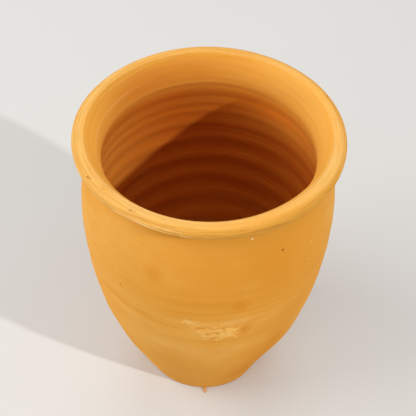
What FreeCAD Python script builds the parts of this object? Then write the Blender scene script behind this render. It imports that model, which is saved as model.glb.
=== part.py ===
import FreeCAD, Part
import math
import os
import Sketcher
from FreeCAD import Vector

# Driving sizes in millimetres. Radii and heights further down follow from these.
SIZES = {
    # Whole vessel
    "height": "117",
    "rim_diameter": "84",
    "foot_diameter": "49.6",
    "belly_swell": "0.35",
    "belly_drop": "36.5",
    "taper_height": "21.6",
    "wall_thickness": "4.4",
    "floor_thickness": "6",
    "heel_thickness": "5",
    # Rolled-out lip
    "lip_thickness": "3.6",
    "lip_top_round": "1.3",
    "lip_low_round": "0.8",
    "lip_flat": "0.8",
    "lip_overhang": "3.9",
    "neck_cove": "4",
    # Flared mouth
    "mouth_round": "3.5",
    "throat_inset": "7.95",
    "flare_radius": "14.5",
    # Rounded edges
    "foot_round": "1.2",
    "floor_round": "8",
    # Throwing rings inside, top one first
    "ring_start": "17.4",
    "ring_pitch": "4.9",
    "ring_spread": "0.85",
    "ring_slope": "0.06",
    "ring_land": "1.2",
    # Crust of pale slip on the belly
    "crust_drop": "49.5",
    "crust_width": "20",
    "crust_height": "9",
    "crust_thickness": "0.4",
    "crust_azimuth": "274.5",
    # Shred of clay at the foot
    "tail_length": "2.4",
    "tail_root": "1.5",
    "tail_tip": "0.7",
    # Crumb under the lip
    "crumb_drop": "9",
    "crumb_length": "1.6",
    "crumb_width": "1",
    "crumb_azimuth": "289.4",
    # How far a stuck-on piece starts inside the wall before it is cut to fit
    "seat_depth": "1",
}

# More rings than any wall has room for
MOST_RINGS = 40
# The crust's skin is turned this much wider than its outline before it is trimmed
TRIM_SPARE = 1.5
# How closely an edge has to match the place it is looked up by, in millimetres
EDGE_MATCH = 0.01

# Formulas in the sheet's names that more than one sketch or placement uses
RIM_RADIUS = "(Sizes.rim_diameter / 2)"
FOOT_RADIUS = "(Sizes.foot_diameter / 2)"
BELLY_RADIUS = f"({RIM_RADIUS} + Sizes.belly_swell)"
BELLY_LEVEL = "(Sizes.height - Sizes.belly_drop)"
INNER_BELLY = f"({BELLY_RADIUS} - Sizes.wall_thickness)"
WELL_RADIUS = f"({FOOT_RADIUS} - Sizes.heel_thickness)"
MOUTH_ACROSS = f"({RIM_RADIUS} - Sizes.lip_top_round - Sizes.lip_flat)"
FLARE_ACROSS = f"({RIM_RADIUS} - Sizes.throat_inset + Sizes.flare_radius)"
FLARE_DROP = f"sqrt((Sizes.flare_radius - Sizes.mouth_round) ^ 2 - ({FLARE_ACROSS} - {MOUTH_ACROSS}) ^ 2)"
FLARE_RISE = f"(Sizes.height - Sizes.mouth_round - {FLARE_DROP} - {BELLY_LEVEL})"
FLARE_REACH = f"({FLARE_ACROSS} - {INNER_BELLY})"
INNER_SHOULDER = (
    f"(({FLARE_REACH} ^ 2 + {FLARE_RISE} ^ 2 - Sizes.flare_radius ^ 2)"
    f" / (2 * (Sizes.flare_radius - {FLARE_REACH})))"
)
WELL_DROP = f"({BELLY_LEVEL} - Sizes.floor_thickness)"
WELL_INSET = f"({INNER_BELLY} - {WELL_RADIUS})"
INNER_LOWER = f"(({WELL_DROP} ^ 2 + {WELL_INSET} ^ 2) / (2 * {WELL_INSET}))"
CRUST_LEVEL = "(Sizes.height - Sizes.crust_drop)"


def make_sheet(doc):
    """Puts every driving size into a cell with its name as alias."""
    sheet = doc.addObject("Spreadsheet::Sheet", "Sizes")
    for row, (name, number) in enumerate(SIZES.items(), start=1):
        sheet.set(f"A{row}", name)
        sheet.set(f"B{row}", number)
        sheet.setAlias(f"B{row}", name)
    doc.recompute()
    return sheet


def new_sketch(body, name, plane):
    """Adds an empty sketch on one of the body's own origin planes."""
    sketch = body.newObject("Sketcher::SketchObject", name)
    support = next(feature for feature in body.Origin.OriginFeatures if feature.Role == plane)
    sketch.AttachmentSupport = [(support, "")]
    sketch.MapMode = "FlatFace"
    return sketch


def line(start, end):
    return Part.LineSegment(Vector(*start), Vector(*end))


def arc(centre, start, end):
    """An arc that runs counterclockwise about centre from start to end."""
    first = math.atan2(start[1] - centre[1], start[0] - centre[0])
    last = math.atan2(end[1] - centre[1], end[0] - centre[0])
    if last < first:
        last += 2 * math.pi
    circle = Part.Circle(Vector(*centre), Vector(0, 0, 1), math.dist(centre, start))
    return Part.ArcOfCircle(circle, first, last)


def toward(centre, target, distance):
    """The point at the given distance from centre, on the line to target."""
    share = distance / math.dist(centre, target)
    return (centre[0] + share * (target[0] - centre[0]), centre[1] + share * (target[1] - centre[1]))


def bind(sketch, name, constraint, formula):
    """Adds a dimension to the sketch under a name and ties it to the sheet."""
    sketch.renameConstraint(sketch.addConstraint(constraint), name)
    sketch.setExpression("Constraints." + name, formula)


def bind_across(sketch, name, geometry, point, value, formula):
    """Ties a point's distance from the upright axis to the sheet."""
    bind(sketch, name, Sketcher.Constraint("DistanceX", -1, 1, geometry, point, value), formula)


def bind_up(sketch, name, geometry, point, value, formula):
    """Ties a point's height above the foot to the sheet."""
    bind(sketch, name, Sketcher.Constraint("DistanceY", -1, 1, geometry, point, value), formula)


def bind_radius(sketch, name, geometry, value, formula):
    bind(sketch, name, Sketcher.Constraint("Radius", geometry, value), formula)


def report_radius(sketch, name, geometry, value):
    """Names an arc's solved radius, so that other sketches can follow it."""
    index = sketch.addConstraint(Sketcher.Constraint("Radius", geometry, value))
    sketch.setDriving(index, False)
    sketch.renameConstraint(index, name)


def tangent_radius(round_centre, round_radius, side, level):
    """Radius of the wall arc, upright at (side, level), that touches a round from outside."""
    across = round_centre[0] - side
    up = round_centre[1] - level
    return (across**2 + up**2 - round_radius**2) / (2 * (round_radius - across))


def add_inner_wall(sketch, size, inner, level, shoulder_radius, lower_radius, throat_end):
    """Adds the ringed inner wall from the throat down: lands, and the rounds pressed between them.

    Ring by ring toward the floor, the rounds get wider and further apart. Both ends of each round
    lie on the smooth wall. Returns the first and last line or arc, and the last one's open end.
    """
    lowest = size["floor_thickness"] + size["floor_round"]
    pieces = []
    last_point = throat_end
    for ring in range(MOST_RINGS):
        offset = ring * size["ring_pitch"] + ring * (ring - 1) / 2 * size["ring_spread"]
        rise = size["belly_drop"] - size["ring_start"] - offset
        width = size["ring_pitch"] + (ring - 0.5) * size["ring_spread"] - size["ring_land"]
        if level + rise + width / 2 > throat_end[1]:
            continue
        if level + rise - width / 2 < lowest:
            break
        wall = shoulder_radius if rise > 0 else lower_radius
        reach = width / 2 * math.sqrt(1 - (rise / wall) ** 2)
        top, foot = (
            (inner - wall + math.sqrt(wall**2 - up**2), level + up) for up in (rise + reach, rise - reach)
        )
        radius = 1 / (8 * size["ring_slope"] / width + 1 / wall)
        chord = math.dist(top, foot)
        stand_off = math.sqrt(radius**2 - (chord / 2) ** 2) / chord
        centre = (
            (top[0] + foot[0]) / 2 - stand_off * (top[1] - foot[1]),
            (top[1] + foot[1]) / 2 + stand_off * (top[0] - foot[0]),
        )
        land = sketch.addGeometry(line(last_point, top))
        groove = sketch.addGeometry(arc(centre, foot, top))
        sketch.addConstraint(Sketcher.Constraint("Coincident", land, 2, groove, 2))
        if pieces:
            sketch.addConstraint(Sketcher.Constraint("Coincident", pieces[-1], 1, land, 1))
        pieces += [land, groove]
        last_point = foot

        offset_formula = f"({ring} * Sizes.ring_pitch + {ring * (ring - 1) // 2} * Sizes.ring_spread)"
        rise_formula = f"(Sizes.belly_drop - Sizes.ring_start - {offset_formula})"
        width_formula = f"(Sizes.ring_pitch + {ring - 0.5} * Sizes.ring_spread - Sizes.ring_land)"
        wall_formula = INNER_SHOULDER if rise > 0 else INNER_LOWER
        reach_formula = f"{width_formula} / 2 * sqrt(1 - ({rise_formula} / {wall_formula}) ^ 2)"
        radius_formula = f"1 / (8 * Sizes.ring_slope / {width_formula} + 1 / {wall_formula})"
        bind_radius(sketch, f"ring_{ring}_radius", groove, radius, radius_formula)
        for place, point, end, sign in (("top", 2, top, "+"), ("foot", 1, foot, "-")):
            up_formula = f"({rise_formula} {sign} {reach_formula})"
            across_formula = f"{INNER_BELLY} - {wall_formula} + sqrt({wall_formula} ^ 2 - {up_formula} ^ 2)"
            level_formula = f"{BELLY_LEVEL} + {up_formula}"
            bind_across(sketch, f"ring_{ring}_{place}_across", groove, point, end[0], across_formula)
            bind_up(sketch, f"ring_{ring}_{place}_level", groove, point, end[1], level_formula)
    return pieces[0], pieces[-1], last_point


def draw_wall_section(body, size):
    """Half section of the vessel: foot, wall, lip, flared mouth, ringed inner wall and floor."""
    height, rim, foot = size["height"], size["rim_diameter"] / 2, size["foot_diameter"] / 2
    belly, level = rim + size["belly_swell"], height - size["belly_drop"]
    inner, floor = belly - size["wall_thickness"], size["floor_thickness"]
    low_round, top_round = size["lip_low_round"], size["lip_top_round"]
    cove, mouth_round, flare = size["neck_cove"], size["mouth_round"], size["flare_radius"]
    taper_top, well = size["taper_height"], foot - size["heel_thickness"]

    lean = 2 * math.atan((belly - foot) / (level + taper_top))
    lower_radius = (level - taper_top) / math.sin(lean)
    low_centre = (rim - low_round, height - size["lip_thickness"] + low_round)
    top_centre = (rim - top_round, height - top_round)
    mouth_centre = (top_centre[0] - size["lip_flat"], height - mouth_round)
    cove_across = rim - size["lip_overhang"] + cove
    cove_fall = math.sqrt((low_round + cove) ** 2 - (cove_across - low_centre[0]) ** 2)
    cove_centre = (cove_across, low_centre[1] - cove_fall)
    flare_across = rim - size["throat_inset"] + flare
    flare_fall = math.sqrt((flare - mouth_round) ** 2 - (flare_across - mouth_centre[0]) ** 2)
    flare_centre = (flare_across, mouth_centre[1] - flare_fall)
    shoulder_radius = tangent_radius(cove_centre, cove, belly, level)
    inner_shoulder_radius = tangent_radius(flare_centre, flare, inner, level)
    inner_lower_radius = ((level - floor) ** 2 + (inner - well) ** 2) / (2 * (inner - well))

    lower_centre = (belly - lower_radius, level)
    shoulder_centre = (belly - shoulder_radius, level)
    inner_shoulder_centre = (inner - inner_shoulder_radius, level)
    inner_lower_centre = (inner - inner_lower_radius, level)
    foot_edge = (foot, 0)
    taper_end = (foot + taper_top * math.tan(lean), taper_top)
    belly_point = (belly, level)
    neck_point = toward(shoulder_centre, cove_centre, shoulder_radius)
    under_lip = toward(low_centre, cove_centre, low_round)
    face_foot, face_top = (rim, low_centre[1]), (rim, top_centre[1])
    flat_outside, flat_inside = (top_centre[0], height), (mouth_centre[0], height)
    flare_start = toward(flare_centre, mouth_centre, flare)
    throat_end = toward(inner_shoulder_centre, flare_centre, inner_shoulder_radius)
    well_edge = (well, floor)

    sketch = new_sketch(body, "WallSection", "XZ_Plane")
    base = sketch.addGeometry(line((0, 0), foot_edge))
    taper = sketch.addGeometry(line(foot_edge, taper_end))
    lower_wall = sketch.addGeometry(arc(lower_centre, taper_end, belly_point))
    shoulder = sketch.addGeometry(arc(shoulder_centre, belly_point, neck_point))
    neck = sketch.addGeometry(arc(cove_centre, under_lip, neck_point))
    lip_low = sketch.addGeometry(arc(low_centre, under_lip, face_foot))
    lip_face = sketch.addGeometry(line(face_foot, face_top))
    lip_top = sketch.addGeometry(arc(top_centre, face_top, flat_outside))
    lip_flat = sketch.addGeometry(line(flat_outside, flat_inside))
    mouth = sketch.addGeometry(arc(mouth_centre, flat_inside, flare_start))
    throat = sketch.addGeometry(arc(flare_centre, flare_start, throat_end))
    smooth_shoulder = sketch.addGeometry(arc(inner_shoulder_centre, (inner, level), throat_end), True)
    first_land, last_ring, last_point = add_inner_wall(
        sketch, size, inner, level, inner_shoulder_radius, inner_lower_radius, throat_end
    )
    heel = sketch.addGeometry(arc(inner_lower_centre, well_edge, last_point))
    bottom = sketch.addGeometry(line(well_edge, (0, floor)))
    axis = sketch.addGeometry(line((0, floor), (0, 0)))

    start, end, centre = 1, 2, 3
    for first, first_end, second, second_end in (
        (base, end, taper, start),
        (lower_wall, end, shoulder, start),
        (throat, end, first_land, start),
        (last_ring, start, heel, end),
        (heel, start, bottom, start),
        (bottom, end, axis, start),
        (axis, end, base, start),
    ):
        sketch.addConstraint(Sketcher.Constraint("Coincident", first, first_end, second, second_end))
    for first, first_end, second, second_end in (
        (taper, end, lower_wall, start),
        (shoulder, end, neck, end),
        (neck, start, lip_low, start),
        (lip_low, end, lip_face, start),
        (lip_face, end, lip_top, start),
        (lip_top, end, lip_flat, start),
        (lip_flat, end, mouth, start),
        (mouth, end, throat, start),
        (throat, end, smooth_shoulder, end),
    ):
        sketch.addConstraint(Sketcher.Constraint("Tangent", first, first_end, second, second_end))
    sketch.addConstraint(Sketcher.Constraint("Coincident", base, start, -1, 1))
    for kind, lines in (("Horizontal", (base, bottom, lip_flat)), ("Vertical", (axis, lip_face))):
        for straight in lines:
            sketch.addConstraint(Sketcher.Constraint(kind, straight))

    bind_across(sketch, "foot_radius", base, end, foot, FOOT_RADIUS)
    bind_up(sketch, "taper_height", taper, end, taper_top, "Sizes.taper_height")
    bind_across(sketch, "belly_radius", lower_wall, end, belly, BELLY_RADIUS)
    bind_up(sketch, "belly_level", lower_wall, end, level, BELLY_LEVEL)
    bind_up(sketch, "lower_centre", lower_wall, centre, level, BELLY_LEVEL)
    bind_up(sketch, "shoulder_centre", shoulder, centre, level, BELLY_LEVEL)
    bind_across(sketch, "inner_belly", smooth_shoulder, start, inner, INNER_BELLY)
    bind_up(sketch, "inner_level", smooth_shoulder, start, level, BELLY_LEVEL)
    bind_up(sketch, "inner_centre", smooth_shoulder, centre, level, BELLY_LEVEL)
    bind_radius(sketch, "neck_cove", neck, cove, "Sizes.neck_cove")
    neck_formula = f"{RIM_RADIUS} - Sizes.lip_overhang + Sizes.neck_cove"
    bind_across(sketch, "neck_across", neck, centre, cove_across, neck_formula)
    bind_radius(sketch, "lip_low_round", lip_low, low_round, "Sizes.lip_low_round")
    low_across = f"{RIM_RADIUS} - Sizes.lip_low_round"
    low_level = "Sizes.height - Sizes.lip_thickness + Sizes.lip_low_round"
    bind_across(sketch, "lip_low_across", lip_low, centre, low_centre[0], low_across)
    bind_up(sketch, "lip_low_level", lip_low, centre, low_centre[1], low_level)
    bind_radius(sketch, "lip_top_round", lip_top, top_round, "Sizes.lip_top_round")
    bind_up(sketch, "lip_top_level", lip_top, centre, top_centre[1], "Sizes.height - Sizes.lip_top_round")
    bind_radius(sketch, "mouth_round", mouth, mouth_round, "Sizes.mouth_round")
    bind_across(sketch, "mouth_across", mouth, centre, mouth_centre[0], MOUTH_ACROSS)
    bind_radius(sketch, "flare_radius", throat, flare, "Sizes.flare_radius")
    bind_across(sketch, "flare_across", throat, centre, flare_across, FLARE_ACROSS)
    bind_radius(sketch, "heel_radius", heel, inner_lower_radius, INNER_LOWER)
    bind_across(sketch, "well_radius", heel, start, well, WELL_RADIUS)
    bind_up(sketch, "floor_level", bottom, end, floor, "Sizes.floor_thickness")
    report_radius(sketch, "lower_radius", lower_wall, lower_radius)
    report_radius(sketch, "shoulder_radius", shoulder, shoulder_radius)
    return sketch


def wall_arc(name):
    """Formula of an outer wall arc's solved radius as a plain number."""
    return f"(WallSection.Constraints.{name} / 1 mm)"


def turn(body, name, sketch):
    """Revolves a section about the upright axis."""
    feature = body.newObject("PartDesign::Revolution", name)
    feature.Profile = sketch
    feature.ReferenceAxis = (sketch, ["V_Axis"])
    feature.Angle = 360
    return feature


def round_edge(body, base, name, radius, level):
    """Rounds the circular edge of the given radius and height."""
    fitting = [
        f"Edge{number}"
        for number, edge in enumerate(base.Shape.Edges, start=1)
        if isinstance(edge.Curve, Part.Circle)
        and abs(edge.Curve.Radius - radius) < EDGE_MATCH
        and abs(edge.Curve.Center.z - level) < EDGE_MATCH
    ]
    fillet = body.newObject("PartDesign::Fillet", name)
    fillet.Base = (base, fitting[:1])
    fillet.setExpression("Radius", f"Sizes.{name}")
    return fillet


def make_vase_body(doc, size):
    """The thrown vessel: one turned section, then the rounded foot and floor."""
    body = doc.addObject("PartDesign::Body", "vase_body")
    wall = turn(body, "TurnedWall", draw_wall_section(body, size))
    doc.recompute()
    foot = size["foot_diameter"] / 2
    foot_edge = round_edge(body, wall, "foot_round", foot, 0)
    doc.recompute()
    round_edge(body, foot_edge, "floor_round", foot - size["heel_thickness"], size["floor_thickness"])
    doc.recompute()
    return body


def seat(doc, name, blank, vessel):
    """Cuts a stuck-on piece to the vessel's surface, so that the two meet face to face."""
    piece = doc.addObject("Part::Cut", name)
    piece.Base = blank
    piece.Tool = vessel
    return piece


def make_slip_patch(doc, size, vessel):
    """A thin skin that follows the belly, trimmed to a pointed oval."""
    rim = size["rim_diameter"] / 2
    level = size["height"] - size["belly_drop"]
    crust_level = size["height"] - size["crust_drop"]
    half_width, half_height = size["crust_width"] / 2, size["crust_height"] / 2
    wall = doc.getObject("WallSection").getDatum("lower_radius").Value
    middle = rim + size["belly_swell"] - wall

    blank = doc.addObject("PartDesign::Body", "SlipBlank")
    skin = new_sketch(blank, "SlipSection", "XZ_Plane")
    inside, outside = wall - size["seat_depth"], wall + size["crust_thickness"]
    corners = {}
    for side, reach in (("inside", inside), ("outside", outside)):
        for place, height in (("top", crust_level + half_height), ("foot", crust_level - half_height)):
            corners[side, place] = (middle + math.sqrt(reach**2 - (height - level) ** 2), height)
    back = skin.addGeometry(arc((middle, level), corners["inside", "foot"], corners["inside", "top"]))
    face = skin.addGeometry(arc((middle, level), corners["outside", "foot"], corners["outside", "top"]))
    top = skin.addGeometry(line(corners["inside", "top"], corners["outside", "top"]))
    foot = skin.addGeometry(line(corners["inside", "foot"], corners["outside", "foot"]))
    for first, first_end, second, second_end in (
        (back, 2, top, 1),
        (face, 2, top, 2),
        (back, 1, foot, 1),
        (face, 1, foot, 2),
    ):
        skin.addConstraint(Sketcher.Constraint("Coincident", first, first_end, second, second_end))
    skin.addConstraint(Sketcher.Constraint("Coincident", back, 3, face, 3))
    skin.addConstraint(Sketcher.Constraint("Horizontal", top))
    skin.addConstraint(Sketcher.Constraint("Horizontal", foot))
    wall_formula = wall_arc("lower_radius")
    top_formula = f"{CRUST_LEVEL} + Sizes.crust_height / 2"
    foot_formula = f"{CRUST_LEVEL} - Sizes.crust_height / 2"
    bind_up(skin, "centre_level", back, 3, level, BELLY_LEVEL)
    bind_radius(skin, "back_radius", back, inside, f"{wall_formula} - Sizes.seat_depth")
    bind_radius(skin, "face_radius", face, outside, f"{wall_formula} + Sizes.crust_thickness")
    bind_up(skin, "top_level", top, 1, crust_level + half_height, top_formula)
    bind_up(skin, "foot_level", foot, 1, crust_level - half_height, foot_formula)
    middle_formula = f"{wall_formula} - {BELLY_RADIUS}"
    centre_across = Sketcher.Constraint("DistanceX", back, 3, -1, 1, -middle)
    bind(skin, "centre_across", centre_across, middle_formula)

    turned = turn(blank, "SlipSkin", skin)
    turned.Midplane = True
    turned.setExpression("Angle", f"{TRIM_SPARE} * asin(Sizes.crust_width / {BELLY_RADIUS})")

    outline = new_sketch(blank, "SlipOutline", "YZ_Plane")
    reach = half_width**2 / half_height
    frame = [
        (across * size["crust_width"], crust_level + up * size["crust_height"])
        for across, up in ((-1, 1), (1, 1), (1, -1), (-1, -1))
    ]
    tips = (-half_width, crust_level), (half_width, crust_level)
    drop = (reach - half_height) / 2
    sides = [outline.addGeometry(line(frame[n], frame[(n + 1) % 4])) for n in range(4)]
    upper = outline.addGeometry(arc((0, crust_level - drop), tips[1], tips[0]))
    lower = outline.addGeometry(arc((0, crust_level + drop), tips[0], tips[1]))
    for n in range(4):
        outline.addConstraint(Sketcher.Constraint("Coincident", sides[n], 2, sides[(n + 1) % 4], 1))
    for kind, side in (("Vertical", sides[1]), ("Horizontal", sides[2]), ("Vertical", sides[3])):
        outline.addConstraint(Sketcher.Constraint(kind, side))
    outline.addConstraint(Sketcher.Constraint("Coincident", upper, 1, lower, 2))
    outline.addConstraint(Sketcher.Constraint("Coincident", upper, 2, lower, 1))
    outline.addConstraint(Sketcher.Constraint("Symmetric", upper, 1, upper, 2, -2))
    outline.addConstraint(Sketcher.Constraint("Symmetric", sides[0], 1, sides[0], 2, -2))
    outline.addConstraint(Sketcher.Constraint("Equal", upper, lower))
    bind_across(outline, "half_width", upper, 1, half_width, "Sizes.crust_width / 2")
    bind_up(outline, "tip_level", upper, 1, crust_level, CRUST_LEVEL)
    reach_formula = "((Sizes.crust_width / 2) ^ 2 / (Sizes.crust_height / 2) + Sizes.crust_height / 2) / 2"
    bind_radius(outline, "edge_radius", upper, (reach + half_height) / 2, reach_formula)
    bind_across(outline, "frame_width", sides[0], 2, frame[1][0], "Sizes.crust_width")
    frame_top, frame_foot = f"{CRUST_LEVEL} + Sizes.crust_height", f"{CRUST_LEVEL} - Sizes.crust_height"
    bind_up(outline, "frame_top", sides[0], 1, frame[0][1], frame_top)
    bind_up(outline, "frame_foot", sides[2], 1, frame[2][1], frame_foot)
    doc.recompute()
    trim = blank.newObject("PartDesign::Pocket", "SlipTrim")
    trim.Profile = outline
    trim.Type = "ThroughAll"
    trim.SideType = "Symmetric"
    doc.recompute()
    if not trim.Shape.Volume * TRIM_SPARE < turned.Shape.Volume:
        raise RuntimeError("the crust was not trimmed to its outline")
    blank.Placement.Rotation = FreeCAD.Rotation(Vector(0, 0, 1), size["crust_azimuth"])
    blank.setExpression("Placement.Rotation.Angle", "Sizes.crust_azimuth")
    return seat(doc, "slip_patch", blank, vessel)


def make_cutting_tail(doc, size, vessel):
    """A tapering shred that lies on the ground and points away from the front of the foot."""
    blank = doc.addObject("Part::Cone", "TailBlank")
    root = size["foot_diameter"] / 2 - size["foot_round"] - size["seat_depth"]
    place = Vector(0, -root, size["tail_root"] / 2)
    blank.Placement = FreeCAD.Placement(place, FreeCAD.Rotation(Vector(1, 0, 0), 90))
    blank.setExpression("Placement.Base.y", f"-({FOOT_RADIUS} - Sizes.foot_round - Sizes.seat_depth)")
    blank.setExpression("Placement.Base.z", "Sizes.tail_root / 2")
    blank.setExpression("Radius1", "Sizes.tail_root / 2")
    blank.setExpression("Radius2", "Sizes.tail_tip / 2")
    blank.setExpression("Height", "Sizes.tail_length + Sizes.foot_round + Sizes.seat_depth")
    return seat(doc, "cutting_tail", blank, vessel)


def make_rim_crumb(doc, size, vessel):
    """A rounded crumb, half sunk in the wall just under the lip before it is cut to fit."""
    shoulder = wall_arc("shoulder_radius")
    rise = "(Sizes.belly_drop - Sizes.crumb_drop)"
    wall_radius = f"({BELLY_RADIUS} - {shoulder} + sqrt({shoulder} ^ 2 - {rise} ^ 2))"
    blank = doc.addObject("Part::Ellipsoid", "CrumbBlank")
    turn_about = FreeCAD.Rotation(Vector(0, 0, 1), size["crumb_azimuth"])
    blank.Placement = FreeCAD.Placement(Vector(0, 0, 0), turn_about)
    blank.setExpression("Placement.Rotation.Angle", "Sizes.crumb_azimuth")
    blank.setExpression("Placement.Base.x", f"{wall_radius} * cos(Sizes.crumb_azimuth * 1 deg)")
    blank.setExpression("Placement.Base.y", f"{wall_radius} * sin(Sizes.crumb_azimuth * 1 deg)")
    blank.setExpression("Placement.Base.z", "Sizes.height - Sizes.crumb_drop")
    blank.setExpression("Radius1", "Sizes.crumb_width / 2")
    blank.setExpression("Radius2", "Sizes.crumb_width / 2")
    blank.setExpression("Radius3", "Sizes.crumb_length / 2")
    return seat(doc, "rim_crumb", blank, vessel)


def check(doc, pieces):
    """Stops the build if any feature failed or any finished piece isn't one valid solid."""
    for item in doc.Objects:
        if "Invalid" in item.State or "Error" in item.State:
            raise RuntimeError(f"{item.Name} did not build: {item.State}")
    for piece in pieces:
        if piece.Shape.isNull() or not piece.Shape.isValid() or len(piece.Shape.Solids) != 1:
            raise RuntimeError(f"{piece.Label} is not one valid solid")


def main():
    doc = FreeCAD.newDocument("bud_vase")
    sheet = make_sheet(doc)
    size = {name: float(getattr(sheet, name)) for name in SIZES}
    vessel = make_vase_body(doc, size)
    pieces = [
        vessel,
        make_slip_patch(doc, size, vessel),
        make_cutting_tail(doc, size, vessel),
        make_rim_crumb(doc, size, vessel),
    ]
    doc.recompute()
    check(doc, pieces)
    os.makedirs("parts", exist_ok=True)
    for piece in pieces:
        piece.Shape.exportStep(f"parts/{piece.Label}.step")


main()
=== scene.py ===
import math
from math import radians

import bpy
import numpy as np
from mathutils import Matrix, Vector


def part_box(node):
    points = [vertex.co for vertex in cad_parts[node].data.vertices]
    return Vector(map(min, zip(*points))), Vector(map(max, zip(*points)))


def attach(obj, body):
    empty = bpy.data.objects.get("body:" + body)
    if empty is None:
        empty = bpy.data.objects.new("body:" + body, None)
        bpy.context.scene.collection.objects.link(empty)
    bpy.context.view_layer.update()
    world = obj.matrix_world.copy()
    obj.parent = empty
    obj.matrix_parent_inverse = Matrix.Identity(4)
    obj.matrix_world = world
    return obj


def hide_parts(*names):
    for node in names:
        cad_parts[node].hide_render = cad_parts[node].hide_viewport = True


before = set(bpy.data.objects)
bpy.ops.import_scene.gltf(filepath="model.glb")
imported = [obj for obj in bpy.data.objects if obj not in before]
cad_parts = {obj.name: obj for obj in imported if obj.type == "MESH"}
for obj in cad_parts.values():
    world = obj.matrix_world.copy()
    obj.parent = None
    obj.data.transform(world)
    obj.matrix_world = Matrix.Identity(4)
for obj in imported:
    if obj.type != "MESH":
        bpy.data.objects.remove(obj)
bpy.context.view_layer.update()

# One turn in radians
TURN = 2 * math.pi

# Vessel sizes in metres, the same as in its solid
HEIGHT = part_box("vase_body")[1].z
BELLY_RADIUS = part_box("vase_body")[1].x
BELLY_DROP = 0.0365
RIM_RADIUS = 0.042
FOOT_RADIUS = 0.0248
FOOT_ROUND = 0.0012
TAPER_HEIGHT = 0.0216
WALL_THICKNESS = 0.0044
HEEL_THICKNESS = 0.005
LIP_THICKNESS = 0.0036
LIP_TOP_ROUND = 0.0013
LIP_LOW_ROUND = 0.0008
LIP_FLAT = 0.0008
LIP_OVERHANG = 0.0039
NECK_COVE = 0.004
MOUTH_ROUND = 0.0035
THROAT_INSET = 0.00795
FLARE_RADIUS = 0.0145
FLOOR_LEVEL = 0.006
FLOOR_ROUND = 0.008
BELLY_LEVEL = HEIGHT - BELLY_DROP
INNER_BELLY = BELLY_RADIUS - WALL_THICKNESS
WELL_RADIUS = FOOT_RADIUS - HEEL_THICKNESS

# How far the belly is out of round, and the rim low all round, lower at the back and narrow at two places
BELLY_OVAL = 0.0003
RIM_LOW = 0.00016
RIM_SAG = 0.0004
RIM_NARROW = 0.0003

# Columns of the vessel's grid
COLUMNS = 300

# Finger spiral inside: how far below the rim its grooves pass on the far wall, their depth, the powers of
# the spiral's sine that shape grooves and crests, and the share of a turn that starts the count
GROOVE_DROPS = (0.0108, 0.0173, 0.0232, 0.0277, 0.034, 0.0411, 0.0511, 0.0601, 0.0699, 0.0806, 0.0922)
GROOVE_DEPTH = 0.00072
GROOVE_SHARPNESS = 2.0
CREST_SHARPNESS = 3
GROOVE_PHASE = 0.13

# Heights and depths of the finer relief in metres
RIDGE_HEIGHT = 0.00014
THROAT_EDGE_HEIGHT = 0.00016
FINE_RING_HEIGHT = 0.00002
BAND_HEIGHT = 0.00003
FINE_BAND_HEIGHT = 0.000015
LOW_BAND_HEIGHT = 0.00008
TURNING_LINE_DEPTH = 0.00008
LIP_ROLL_HEIGHT = 0.0002
LIP_CORNER_DEPTH = 0.00026
LIP_BEAD_HEIGHT = 0.00022
LIP_CREASE_DEPTH = 0.00004
LIP_LINE_HEIGHT = 0.00003
TEAR_HEIGHT = 0.00016
STRING_DEPTH = 0.00022
SWIRL_HEIGHT = 0.00022

# Marks under the foot and on the floor inside: where the cutting string was pulled out, and the pitches
STRING_EXIT = (0.004, -0.034)
STRING_PITCH = 0.0031
SWIRL_PITCH = 0.0052

# Soft patches: azimuth (-90 is the front) and spread in degrees, middle and half size in metres, and
# strength. The middle is a drop below the rim inside, a height outside, and a path length in the mouth.
MOUTH_SWELL = (-48, 34, 0.0035, 0.002, 0.00048)
THROAT_RIDGE = (172, 34, 0.0053, 0.0004, 1)
# Painted light on the flare's left side
LIT_FLARE = (188, 33, 0.0045, 0.006, 0.95)
# Painted shade: the flare deeper at the back
SHADED_FLARE = (92, 24, 0.0027, 0.0016, 0.16)
# Painted warm bounce light on the inner wall at the back right
WARM_LIT_WALL = (52, 30, 0.018, 0.006, 0.85)
# Painted shade: a patch on the inner wall below the throat at the back left
SHADED_WALL = (114, 26, 0.0185, 0.005, 0.36)
LINED_WALL = (-130, 40, 0.074, 0.006, 0.3)
# Painted shade on the wall under the lip on the front right
SHADED_NECK = (-58, 32, 0.1118, 0.0065, 1)

# Hollows of the outer wall, soft patches by their depth: a flat band, and a grip's dent with its upper end
HOLLOWS = (
    (-128, 38, 0.0705, 0.003, 0.00012),
    (-38, 14, 0.0125, 0.0105, 0.0019),
    (-40, 16, 0.026, 0.007, 0.0005),
)

# Tears along the lip's outer face: azimuths of both ends in degrees, path length from the lip's underside
# and half width in metres, and strength, below 0 for a dark gap of painted shade. Each sinks a little along
# its length.
LIP_TEARS = (
    (-132, -108, 0.0013, 0.0004, 0.55),
    (-120, -102, 0.0012, 0.00035, 0.65),
    (-101, -94, 0.0012, 0.00032, 0.55),
    (-130, -101, 0.0019, 0.00018, -0.65),
    (-122, -97, 0.003, 0.0004, 0.25),
    (-126, -92, 0.0036, 0.0002, -0.55),
    (-122, -88, 0.0043, 0.00016, -0.3),
)
TEAR_SINK = 0.0003

# Lines that the turning left on the outer wall: azimuths of both ends in degrees, height and half
# height in metres, and strength, above 0 for a deep groove and below 0 for a pale ridge
TURNING_LINES = (
    (-152, -112, 0.0694, 0.0007, 0.5),
    (-122, -96, 0.0685, 0.0007, 0.6),
    (-148, -104, 0.071, 0.0005, 0.4),
    (-100, -56, 0.0713, 0.0004, 0.3),
    (-124, -52, 0.061, 0.0014, 0.2),
    (-118, -40, 0.0872, 0.0006, 0.2),
    (-116, -42, 0.084, 0.0006, 0.2),
    (-118, -44, 0.0812, 0.0006, 0.18),
    (-120, -42, 0.0782, 0.0008, 0.26),
    (-106, -36, 0.0727, 0.0013, -0.32),
    (-140, -112, 0.0658, 0.0012, -0.3),
    (-130, -50, 0.0545, 0.0026, -0.3),
)

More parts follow.
